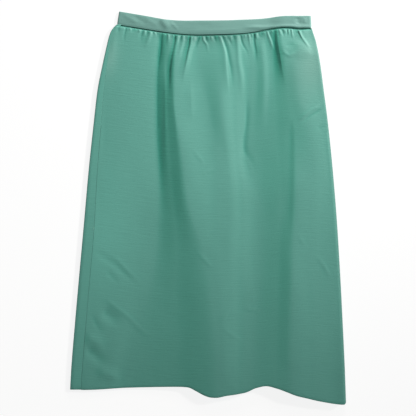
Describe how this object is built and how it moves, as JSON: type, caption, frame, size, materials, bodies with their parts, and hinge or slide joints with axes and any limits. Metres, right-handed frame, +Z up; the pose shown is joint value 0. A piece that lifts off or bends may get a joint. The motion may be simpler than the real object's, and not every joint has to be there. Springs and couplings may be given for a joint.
{
  "type": "a-line skirt",
  "caption": "A-line skirt laid flat, gathered into a narrow plain waistband, with one soft fold down the front, a turned side seam and a wavy hem.",
  "frame": {"origin": "on the surface that the skirt lies on, under the middle of its outline", "axes": "+X to the wearer's left, +Y from hem to waist, +Z up from the surface"},
  "size_m": [0.496, 0.7056, 0.0178],
  "materials": {
    "front_cloth": "seafoam green plain weave with fine crosswise ribs and a slight satin sheen",
    "back_cloth": "the same seafoam green cloth as the front",
    "band_cloth": "the same cloth, folded double and pressed, a little greyer"
  },
  "bodies": {
    "root": {"front_panel": "front_cloth", "back_panel": "back_cloth", "waistband": "band_cloth"}
  },
  "joints": []
}
